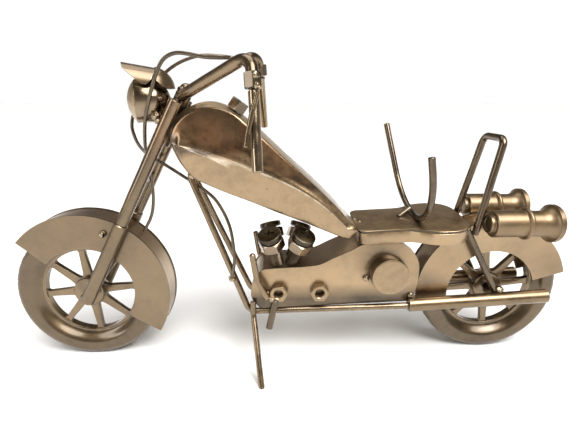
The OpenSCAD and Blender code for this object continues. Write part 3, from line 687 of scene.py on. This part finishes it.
def tank_panel(side, rings=26):
    """Pressed tank side: it rises from its edge to a soft crease, steep just above it and flat below."""
    outline = spline(TANK_OUTLINE, 5, closed=True)
    crease = spline(TANK_CREASE, 4)
    feet = [nearest_on(crease, p) for p in outline]
    for _ in range(6):
        n = len(feet)
        feet = [nearest_on(crease, (feet[i - 1] + feet[i] * 2 + feet[(i + 1) % n]) / 4) for i in range(n)]
    face = side * TANK_HALF
    # how gently the panel rounds over at the crease
    soft = 0.2
    rows = [[(p[0], y, p[1]) for p in outline] for y in (side * (TANK_HALF - SHEET), face - side * 0.25)]
    for i in range(rings + 1):
        t = i / rings
        row = []
        for p, foot in zip(outline, feet):
            above = p[1] > foot[1]
            span = min(1.0, (p - foot).length / 20)
            u = 1 - (math.hypot(1 - t, soft) - soft) / (math.hypot(1, soft) - soft)
            if above:
                rise = 4.7 * (0.55 * u ** 0.65 + 0.45 * u ** 4.5) * (0.25 + 0.75 * span)
            else:
                rise = 4.7 * (0.5 * u + 0.5 * (1 - (1 - u) ** 3)) * (0.25 + 0.75 * span)
            spot = p.lerp(foot, t * 0.998)
            spot = spot + (foot - p).normalized() * (0.25 if i == 0 else 0)
            dent = noise.noise(Vector((spot[0], spot[1], 3.0 * side)) * 0.085) * 0.3
            dent = dent * math.sin(math.pi * t) ** 0.5
            row.append((spot[0], face + side * (rise + dent), spot[1]))
        rows.append(row)
    verts, faces = grid(rows, wrap=True)
    n = len(outline)
    last = len(verts) - n
    # the two halves of the innermost ring lie along the crease and are closed across it
    faces.append(tuple(last + k for k in range(n)))
    faces.append(tuple(range(n))[::-1])
    return verts, faces


def build_tank():
    for name, s in SIDES.items():
        plain(f"tank_{name}", [tank_panel(s)], TANK, sharp=60)
    outline = spline(TANK_OUTLINE, 5, closed=True)
    tail = Vector((20, 95))
    rows = []
    half = TANK_HALF - SHEET
    for i in range(17):
        y = -half + 2 * half * i / 16
        grow = 0.992 + 0.05 * (1 - abs(y / half) ** 2.4)
        rows.append([(q[0], y, q[1]) for q in (tail + (p - tail) * grow for p in outline)])
    inner = [[(q[0], y, q[1]) for q in (tail + (p - tail) * 0.96 for p in outline)] for y in (half, -half)]
    plain("tank_band", [grid(rows + inner + [rows[0]], wrap=True)], TANK_BAND)
    place = Matrix.Translation((-32.2, -4.5, 158.9)) @ Matrix.Rotation(math.radians(36), 4, "Y")
    nut = moved(hex_nut(10, 5, 6, 0.0), place)
    floor = moved(lathe([(0, 3.9), (2.6, 3.9), (2.6, 3.0), (0, 3.0)], (0, 0, 0), (0, 0, 1), 32), place)
    plain("fuel_cap", [nut, floor], FUEL_CAP, sharp=25)


def seat_outline():
    front, rear, nose, tail, length = 17.5, 24.0, 5.0, 14.0, 69.0
    half = [(0, 0), (0, -front + nose)]
    half += [(nose - nose * math.cos(a), -front + nose - nose * math.sin(a))
             for a in (math.radians(15 * k) for k in range(1, 7))]
    half += [(x, -front - (rear - front) * (3 * t * t - 2 * t ** 3)) for x, t in
             ((30 + 20 * k / 8, k / 8) for k in range(9))]
    half += [(length - tail + tail * math.sin(a), -rear + tail - tail * math.cos(a))
             for a in (math.radians(10 * k) for k in range(10))]
    half += [(length, 0)]
    return [Vector(p) for p in half] + [Vector((x, -y)) for x, y in half[-2:0:-1]]


def build_seat():
    tilt, roll = math.radians(2.6), math.radians(5.5)
    lean = Matrix.Rotation(-tilt, 4, "Y") @ Matrix.Rotation(roll, 4, "X")
    place = Matrix.Translation((40, -24, 88.5)) @ lean @ Matrix.Translation((0, 24, 0))
    outline = seat_outline()
    middle = Vector((38, 0))
    n = len(outline)
    rows = []
    for shrink, z in ((0.988, -1.2), (1.0, -1.1), (1.0, -0.35), (0.993, -0.08), (0.982, 0.02)):
        rows.append([(q[0], q[1], z) for q in (middle + (p - middle) * shrink for p in outline)])
    for i in range(1, 13):
        t = i / 12
        dome = 0.9 * math.sin(t * math.pi / 2)
        rows.append([(q[0], q[1], 0.02 + dome + 0.12 * noise.noise(Vector((q[0], q[1], 0)) * 0.07)) for q in
                     (Vector((p[0] + (middle[0] - p[0]) * 0.55 * t, p[1])).lerp(Vector((
                         p[0] + (middle[0] - p[0]) * 0.55 * t, 0)), t * 0.98) * 0.982 + middle * 0.018
                      for p in outline)])
    verts, faces = grid(rows, wrap=True)
    faces.append(tuple(range(n))[::-1])
    faces.append(tuple(len(verts) - n + k for k in range(n)))
    plain("seat_top", [moved((verts, faces), place)], SEAT)
    rows = []
    for shrink, z in ((0.965, -1.2), (0.975, -1.6), (0.99, -1.95), (0.99, -8.7), (0.985, -9), (0.955, -9),
                      (0.95, -8.6), (0.95, -1.2)):
        rows.append([(q[0], q[1], z) for q in (middle + (p - middle) * shrink for p in outline)])
    skirt = grid(rows + [rows[0]], wrap=True)
    plain("seat_skirt", [moved(skirt, place)], SKIRT)


# ---- cradle, hoop and tail ----
def build_cradle():
    r, near_arm, far_arm, turn = 35.4, 7.5, 35.5, math.radians(68)
    line = [(-r, r + near_arm)]
    line += [(r * math.cos(a), r * (1 + math.sin(a))) for a in
             (math.pi + (math.pi / 2 + turn) * i / 48 for i in range(49))]
    line += [(r * math.sin(turn) + far_arm * math.cos(turn),
              r * (1 - math.cos(turn)) + far_arm * math.sin(turn))]
    place = Matrix.Translation((79, -1, 94)) @ Matrix.Rotation(math.radians(-10), 4, "Y")
    path = even([place @ Vector((0, a, b)) for a, b in line], 3)
    plain("bottle_cradle", [sweep(path, 4)], DARK_ROD)
    stub = sweep(even([(69, 0.5, 92.8), (77, 3, 98)], 2), 3.6)
    plain("cradle_stub", [stub], DARK_ROD)
    path = bent([(112.1, -15, 85.5), (123.5, -11.3, 143), (123.5, 11.3, 143), (112.1, 15, 85.5)], 5)
    plain("sissy_bar", [sweep(even(path, 3), 4.3)], DARK_ROD)


def build_tail():
    for name, s in SIDES.items():
        path = even([(74.2, s * 17.5, 39.4), (163, s * 17.5, 44.4)], 6)
        plain(f"muffler_{name}", [sweep(path, 8.6, 40, bore=6.2, depth=15, wander=0.03)], MUFFLER)
        r, rim = 8.2, 11.5
        profile = [(0, 0.9), (3.6, 0.9), (4.0, 0.2), (r - 3.0, 0), (r - 2.6, 0.3), (r - 2.5, 2),
                   (r - 2.2, 2.4), (r - 0.5, 2.5), (r, 3.0), (r, 20.6)]
        profile += [(r + 1.6 * math.cos(a), 22.6 + 1.6 * math.sin(a)) for a in
                    (math.radians(-78 + 13 * k) for k in range(13))]
        profile += [(r - 0.35, 24.7), (r - 0.4, 31)]
        profile += [(r - 0.4 + (rim - r + 0.4) * (1 - math.cos(a)) / (1 - math.cos(math.radians(75))),
                     31 + 7 * math.sin(a) / math.sin(math.radians(75))) for a in
                    (math.radians(7.5 * k) for k in range(1, 11))]
        profile += [(rim, 40.3), (rim - 0.3, 40.8), (rim - 1.2, 41), (rim - 1.9, 40.7), (rim - 3.2, 39.8),
                    (rim - 5, 39.4), (0, 39.3)]
        can = lathe(profile, (117.5, s * 17.2, 94.2 + s), (1, 0, 0), 96)
        plain(f"canister_{name}", [can], CANISTER, sharp=30)
    for name, x, half in (("rear", REAR_X, 14.4), ("front", FRONT_X, 12.4)):
        path = even([(x, -half, WHEEL_R), (x, half, WHEEL_R)], 4)
        plain(f"{name}_axle", [sweep(path, 4, wander=0)], DARK_ROD)


# ---- fenders ----
def build_fenders():
    half = 9.5
    for end, at, r, inner, arc, material in (
            ("front", (FRONT_X + 1.5, 0, 46.6), 51.8, 30.3, (-33, 138), FENDER_FRONT),
            ("rear", (REAR_X - 1, 0, 43.5), 49.2, 28.6, (16, 186), FENDER_REAR)):
        for name, s in SIDES.items():
            y0, y1 = sorted((s * half, s * (half - SHEET)))
            plate = ring_bar(at, inner, r, arc, y0, y1, 96)
            plain(f"{end}_fender_{name}", [plate], material,
                 bevel=0.22)
        inside = half - SHEET - 0.45
        band = ring_bar(at, r - SHEET - 0.5, r - 0.5, (arc[0] + 0.4, arc[1] - 0.4), -inside, inside, 96)
        plain(f"{end}_fender_band", [band], FENDER_BAND, bevel=0.12)


# ---- fork, headlight and bars ----
def side_point(p, s):
    return Vector((p[0], s * p[1], p[2] + s * 6.5 * p[1] / 57))


def build_fork():
    top, mid, foot = Vector((-63.2, 0, 164.5)), Vector((-101.2, 0, 94.1)), Vector((-128.6, 0, 43.3))
    for name, s in SIDES.items():
        out = Vector((0, s * 13.9, 0))
        plain(f"fork_upper_{name}", [sweep(even([top + out, mid + out], 5), 7.2, 40, wander=0.03)], FORK)
        plain(f"fork_lower_{name}", [sweep(even([mid + out, foot + out], 5), 8.2, 40, wander=0.03)], SLIDER)
    bridge = [sweep(even([(x, -13.9, z), (x, 13.9, z)], 4), 5, wander=0.03)
              for x, z in ((-65.5, 160.5), (-89.8, 118))]
    plain("fork_bridge", bridge, DARK_ROD)
    neck = sweep(even([(-61.5, 0, 168), (-77, 0, 139.5)], 4), 9, 40, wander=0.03)
    plain("steering_neck", [neck], DARK_ROD)
    up = unit((15.5, 0, 28.5))
    place = Matrix.Translation((-61.5, 0, 168)) @ up.to_track_quat("Z", "Y").to_matrix().to_4x4()
    nut = moved(hex_nut(8, 4, 2.4, 0.0, thread=False), place)
    dome = [(3.7, 0)] + [(3.7 * math.cos(a), 2.4 + 3.7 * math.sin(a)) for a in
                         (math.radians(9 * k) for k in range(10))] + [(0, 6.1)]
    cap = moved(lathe(dome, (0, 0, 0), (0, 0, 1), 48), place)
    plain("stem_nut", [nut, cap], ROD, sharp=25)


def lamp_turned(shape):
    """The lamp and its peak are welded on slightly turned to the near side."""
    pivot = Matrix.Translation((-80, 0, 0))
    return moved(shape, pivot @ Matrix.Rotation(math.radians(15), 4, "Z") @ pivot.inverted())


def build_headlight():
    r = 12.0
    shell = [(r - 0.7, -0.1), (r - 0.2, 0), (r, 0.3), (r, 8)]
    shell += [(r * math.cos(a), 8 + 11.5 * math.sin(a)) for a in (math.radians(6 * k) for k in range(1, 15))]
    shell += [(0, 19.5), (0, 17.5), (6, 15), (r - 2, 10), (r - 1, 6), (r - 1, 0.2)]
    plain("headlight_shell", [lamp_turned(lathe(shell, (-89, 0, 163.8), (1, 0, 0), 96))], CHROME, sharp=50)
    dome_r, rim = 17.0, 11.6
    sag = dome_r - math.sqrt(dome_r ** 2 - rim ** 2)
    lens = [(rim - 0.6, -0.4), (rim, 0.1)]
    for k in range(1, 14):
        q = rim * (1 - k / 14)
        lens.append((q, sag - dome_r + math.sqrt(dome_r ** 2 - q * q)))
    lens += [(0, sag)]
    glass = lathe(lens + [(0, -0.4)], (-89, 0, 163.8), (-1, 0, 0), 96)
    plain("headlight_lens", [lamp_turned(glass)], LENS)
    plain("headlight_visor", [lamp_turned(visor_leaf()), lamp_turned(visor_peak())], VISOR, bevel=0.15)


def thick_sheet(rows, offset):
    """Closed sheet between a grid of points and the same grid moved by offset(point)."""
    back = [[Vector(p) + offset(Vector(p)) for p in row] for row in rows]
    n, w = len(rows), len(rows[0])
    verts = [Vector(p) for row in rows for p in row] + [p for row in back for p in row]
    base = n * w
    faces = []
    for i in range(n - 1):
        for k in range(w - 1):
            a = i * w + k
            faces.append((a, a + 1, a + w + 1, a + w))
            faces.append((base + a, base + a + w, base + a + w + 1, base + a + 1))
    rim = [k for k in range(w)] + [i * w + w - 1 for i in range(1, n)]
    rim += [(n - 1) * w + k for k in range(w - 2, -1, -1)] + [i * w for i in range(n - 2, 0, -1)]
    for a, b in zip(rim, rim[1:] + rim[:1]):
        faces.append((a, b, base + b, base + a))
    return verts, faces


PEAK_FRONT = [(187, -94.5), (184.6, -94.5), (182, -93.8), (179, -91), (174.6, -86.5), (172, -83)]
PEAK_REAR = [(187, -76.3), (182, -76.3), (175, -79.5), (172, -83)]


def edge_x(edge, z):
    """Where an edge, listed from its top as Z and X, passes a height."""
    for (z0, x0), (z1, x1) in zip(edge, edge[1:]):
        if z >= z1:
            return x0 + (x1 - x0) * min(1.0, max(0.0, (z0 - z) / (z0 - z1)))
    return edge[-1][1]


def visor_peak():
    """Curled peak over the lamp: part of a tilted barrel, narrowing to a blunt tip in front."""
    tilt, r = math.tan(math.radians(9)), 10.4
    rows = []
    for i in range(41):
        a = math.radians(-88 + 176 * i / 40)

        def at(x):
            return Vector((x, r * math.sin(a), 170.4 + (-70 - x) * tilt + r * math.cos(a)))

        ends = []
        for edge in (PEAK_FRONT, PEAK_REAR):
            x = -84.0
            for _ in range(30):
                x += 0.4 * (edge_x(edge, at(x).z) - x)
            ends.append(x)
        rows.append([at(ends[0] + (ends[1] - ends[0]) * k / 24) for k in range(25)])
    return thick_sheet(rows, lambda p: Vector((0, -p.y, 170.4 + (-70 - p.x) * tilt - p.z)).normalized() * 0.9)


def visor_leaf():
    """Rounded leaf behind the peak, part of a ball that is cut off below."""
    centre, r = Vector((-79.2, 0, 170.2)), 12.5
    rows = []
    for i in range(25):
        lift = 80 - 78 * i / 24
        near = max(2.3 / math.cos(math.radians(lift)), 5.2 + 6.2 * math.exp(-lift / 7))
        half = math.acos(min(0.99, near / r))
        up, ahead = math.sin(math.radians(lift)), math.cos(math.radians(lift))
        rows.append([centre + r * Vector((ahead * math.cos(a), math.sin(a), up * math.cos(a)))
                     for a in (-half + 2 * half * k / 28 for k in range(29))])
    return thick_sheet(rows, lambda p: (centre - p).normalized() * 0.9)


def build_bars():
    root, knee, end = (-62.5, 7, 167), (-20.5, 38, 189.8), (-19.5, 45, 178)
    grip_top, grip_end = (-19.3, 45.6, 174), (-17.6, 57, 139)
    lever = [(-17.3, 49.7, 174), (-19.6, 52.4, 166), (-22, 54.8, 156), (-22.8, 56.6, 150.5)]
    nuts, levers = [], []
    for name, s in SIDES.items():
        path = bent([side_point(p, s) for p in (root, knee, end)], 9, 16)
        plain(f"handlebar_{name}", [sweep(even(path, 3), 6.2, 36, chamfer=1.2)], ROD)
        path = even([side_point(grip_top, s), side_point(grip_end, s)], 4)
        plain(f"grip_{name}", [sweep(path, 5.2, 36, wander=0.02)], GRIP)
        down = unit(side_point(grip_top, s) - side_point(end, s))
        place = Matrix.Translation(side_point(end, s)) @ down.to_track_quat("Z", "Y").to_matrix().to_4x4()
        nuts.append(moved(hex_nut(8, 5.3, 7, 0.3, thread=False), place @ Matrix.Translation((0, 0, -4))))
        levers.append(sweep(even(bent([side_point(p, s) for p in lever], 5), 2), 2.5, 20))
    plain("bar_nuts", nuts, DARK_ROD, sharp=25)
    plain("brake_levers", levers, ROD)


FRONT_CABLE = [
    (-32, -21, 185.5), (-38, -20, 185.5), (-46, -18, 186), (-54, -17, 187.5),
    (-61, -16, 188), (-67, -15.5, 185.5), (-71, -15.5, 180), (-74.5, -15.5, 172),
    (-77.5, -15.2, 164), (-81, -13.2, 154), (-84, -8, 143), (-85.5, -3.5, 134),
    (-85.5, -1, 124), (-85, 0, 112), (-86, 0, 101), (-88.5, 0, 93), (-93.5, 0, 84.5),
]
FRAME_CABLE = [
    (-34, 26, 189.5), (-43, 24.5, 190.5), (-55, 22.5, 190.5), (-67, 20, 186.5),
    (-77, 17.5, 179.5), (-88, 16.5, 169), (-95.5, 15, 159), (-97.5, 12, 150),
    (-96, 10, 143), (-93, 8, 137.5), (-88, 5.5, 133), (-82, 3, 130),
    (-73, 0, 125), (-64, -2, 119.5), (-54, -4.5, 113.5), (-45, -7, 105.5),
    (-38, -10.5, 92), (-35.5, -13.2, 77), (-35.5, -14.5, 68), (-37.5, -15.2, 58),
]
BEADS = [
    ((-114.8, -10.5, 86.7), 4), ((-76, -10.2, 156), 4.6), ((-37.2, -13.5, 58), 4.6),
    ((41, 0, 89.4), 6), ((75.8, -15.4, 45.2), 4), ((132.5, -16.2, 48.6), 5),
    ((46.4, -16.4, 58), 3.6), ((-15.4, -18.6, 48.6), 4.6), ((-66.2, -6, 152), 5),
    ((-59.5, -5, 121.4), 5), ((-59.5, 5, 121.4), 5), ((-62, -8, 166.4), 5),
]

# Runs of the same welds, beside the beads of the CAD
EXTRA_WELDS = [
    ((-12.6, -19.6, 46.0), 3.8), ((-17.6, -19.6, 49.8), 3.2), ((-11.0, -20.2, 44.2), 2.6),
    ((-74.5, -12.2, 153.2), 3.2), ((-63.5, -9.5, 163.6), 3.4), ((43.5, -3, 89.6), 3.6),
    ((77.6, -16.2, 43.8), 2.6), ((-24.6, -18, 38.5), 2.8), ((107.6, -14.2, 88.0), 3.6),
    ((-18.6, -47.0, 175.6), 4.6), ((-17.4, -48.0, 171.0), 3.6),
]


def build_cables():
    for name, route in (("front_cable", FRONT_CABLE), ("frame_cable", FRAME_CABLE)):
        plain(name, [sweep(spline(route, 6), 2, 16, chamfer=0.25, wander=0)], WIRE)
    beads = [blob(at, d / 2, 3.7 * i + 1.3) for i, (at, d) in enumerate(BEADS + EXTRA_WELDS)]
    plain("weld_beads", beads, BEAD)


# ---- wheels ----
def tyre_shape(x):
    """Hollow pressed tyre: a bevelled wall inside, a round shoulder, and notches across the crown."""
    half, bore, shoulder, r = 7.5, 30.5, 4.2, WHEEL_R
    outer = [(bore - 0.6, 2.75), (bore, 2.85), (bore + 0.8, 3.3), (bore + 1.9, 4.3), (bore + 3.1, 5.55)]
    outer += [(bore + 4.3, 6.6), (bore + 5.5, 7.25), (bore + 6.8, half)]
    outer += [(r - shoulder + shoulder * math.sin(a), 3 + (half - 3) * math.cos(a)) for a in
              (math.radians(7.5 * k) for k in range(13))]
    profile = outer + [(q, -h) for q, h in outer[::-1]]
    blocks = 44

    def notch(a, q, h):
        share = max(0.0, (q - (r - 1.6)) / 1.6)
        wave = (a * blocks / (2 * math.pi)) % 1.0
        cut = max(0.0, 1 - abs(wave - 0.5) / 0.16)
        return -0.55 * min(1.0, share * 1.6) * min(1.0, cut * 1.5)

    return lathe(profile, (x, 0, WHEEL_R), (0, -1, 0), blocks * 12, closed=True, wobble=notch)


def wheel_shapes(x):
    """Stamped wheel: a rim ring, eight flat tapered spokes with fillets, and a hub with a counterbore."""
    at = (x, 0, WHEEL_R)
    rim = lathe([(28.5, -2.3), (28.8, -2.6), (29.9, -2.7), (30.6, -2.6), (30.6, 2.6), (29.9, 2.7),
                 (28.8, 2.6), (28.5, 2.3)], at, (0, -1, 0), 128, closed=True)
    hub = lathe([(2.05, -5), (3.0, -5), (3.3, -4.8), (3.3, -2.6), (2.05, -2.4), (2.05, 2.4), (3.3, 2.6),
                 (3.3, 4.8), (3.6, 5), (8.7, 5), (9.2, 4.85), (9.5, 4.4), (9.5, -4.4), (9.2, -4.85),
                 (8.7, -5), (3.6, -5)],
                at, (0, -1, 0), 72, closed=True)
    half = [(6, 3.6), (9.0, 3.9), (9.9, 3.3), (11, 2.75), (13, 2.45), (18, 2.25), (26, 1.9), (27.4, 2.1),
            (28.4, 2.8), (29.2, 3.4)]
    outline = half + [(q, -w) for q, w in half[::-1]]
    shapes = [rim, hub]
    for i in range(8):
        turn = math.radians(45 * i + 5)
        place = Matrix.Translation(at) @ Matrix.Rotation(-turn, 4, "Y") @ upright(0)
        shapes.append(slab(outline, 3.4, place, 0.3))
    return shapes


def build_wheels():
    for end, x in (("front", FRONT_X), ("rear", REAR_X)):
        body = f"{end}_wheel_body"
        plain(f"{end}_tyre", [tyre_shape(x)], TYRE, body, sharp=40)
        plain(f"{end}_wheel", wheel_shapes(x), WHEEL, body, sharp=40)


# ---- stage ----
FLOOR_REACH = 12.0
# Brightness of the room by height, as reflected in the metal; the camera sees plain white instead
ROOM = [
    (0.0, (0.62, 0.58, 0.52)), (0.18, (0.42, 0.38, 0.34)), (0.45, (0.16, 0.14, 0.12)),
    (0.8, (0.12, 0.105, 0.09)), (1.0, (0.3, 0.28, 0.26)),
]
# Name, place in metres, size in metres and power of each soft lamp
LAMPS = [
    ("key", (0.34, -0.42, 0.72), (0.34, 0.34), 3.6),
    ("left_window", (-0.62, -0.35, 0.42), (0.22, 0.6), 2.0),
    ("top", (-0.1, 0.25, 0.95), (0.7, 0.5), 2.0),
]
LAMP_AIM = Vector((0, 0, 0.08))
SUN_FROM = Vector((0.35, -0.5, 1.0))


def build_floor():
    mesh = bpy.data.meshes.new("floor")
    corners = [(x * FLOOR_REACH, y * FLOOR_REACH, 0) for x, y in ((-1, -1), (1, -1), (1, 1), (-1, 1))]
    mesh.from_pydata(corners, [], [(0, 1, 2, 3)])
    floor = bpy.data.objects.new("floor", mesh)
    bpy.context.scene.collection.objects.link(floor)
    paint = bpy.data.materials.new("floor_paint")
    paint.use_nodes = True
    shader = paint.node_tree.nodes["Principled BSDF"]
    shader.inputs["Base Color"].default_value = (0.9, 0.9, 0.89, 1)
    shader.inputs["Roughness"].default_value = 0.8
    shader.inputs["Specular IOR Level"].default_value = 0.1
    mesh.materials.append(paint)


def build_world():
    world = bpy.data.worlds.new("studio")
    bpy.context.scene.world = world
    world.use_nodes = True
    tree = world.node_tree
    tree.nodes.clear()
    way = tree.nodes.new("ShaderNodeTexCoord").outputs["Generated"]
    parts = add(tree, "ShaderNodeSeparateXYZ", Vector=way)
    room = add(tree, "ShaderNodeBackground", Color=ramp(tree, parts.outputs["Z"], ROOM), Strength=1.0)
    seen = add(tree, "ShaderNodeBackground", Color=(1, 1, 1, 1), Strength=1.0)
    mixer = tree.nodes.new("ShaderNodeMixShader")
    tree.links.new(tree.nodes.new("ShaderNodeLightPath").outputs["Is Camera Ray"], mixer.inputs[0])
    tree.links.new(room.outputs[0], mixer.inputs[1])
    tree.links.new(seen.outputs[0], mixer.inputs[2])
    output = tree.nodes.new("ShaderNodeOutputWorld")
    tree.links.new(mixer.outputs[0], output.inputs["Surface"])


def place_light(light, towards, at=(0, 0, 0)):
    lamp = bpy.data.objects.new(light.name, light)
    lamp.location = at
    lamp.rotation_mode = "QUATERNION"
    lamp.rotation_quaternion = towards.to_track_quat("Z", "Y")
    bpy.context.scene.collection.objects.link(lamp)


def build_lights():
    for name, at, size, power in LAMPS:
        light = bpy.data.lights.new(name, "AREA")
        light.shape = "RECTANGLE"
        light.size, light.size_y = size
        light.energy = power
        place_light(light, Vector(at) - LAMP_AIM, at)
    sun = bpy.data.lights.new("sun", "SUN")
    sun.energy = 3.7
    sun.angle = math.radians(50)
    place_light(sun, SUN_FROM)


def build_camera():
    lens = bpy.data.cameras.new("camera")
    lens.lens = 24.139
    lens.sensor_width = 36
    lens.clip_start = 0.01
    camera = bpy.data.objects.new("camera", lens)
    camera.location = (-0.0089, -0.23472, 0.1656)
    camera.rotation_euler = (math.pi / 2 - 0.297, 0, -0.031)
    bpy.context.scene.collection.objects.link(camera)
    bpy.context.scene.camera = camera
    bpy.context.scene.view_settings.view_transform = "Standard"


build_floor()
build_world()
build_lights()
build_camera()
build_frame()
build_case()
build_cylinders()
build_tank()
build_seat()
build_cradle()
build_tail()
build_fenders()
build_fork()
build_headlight()
build_bars()
build_cables()
build_wheels()
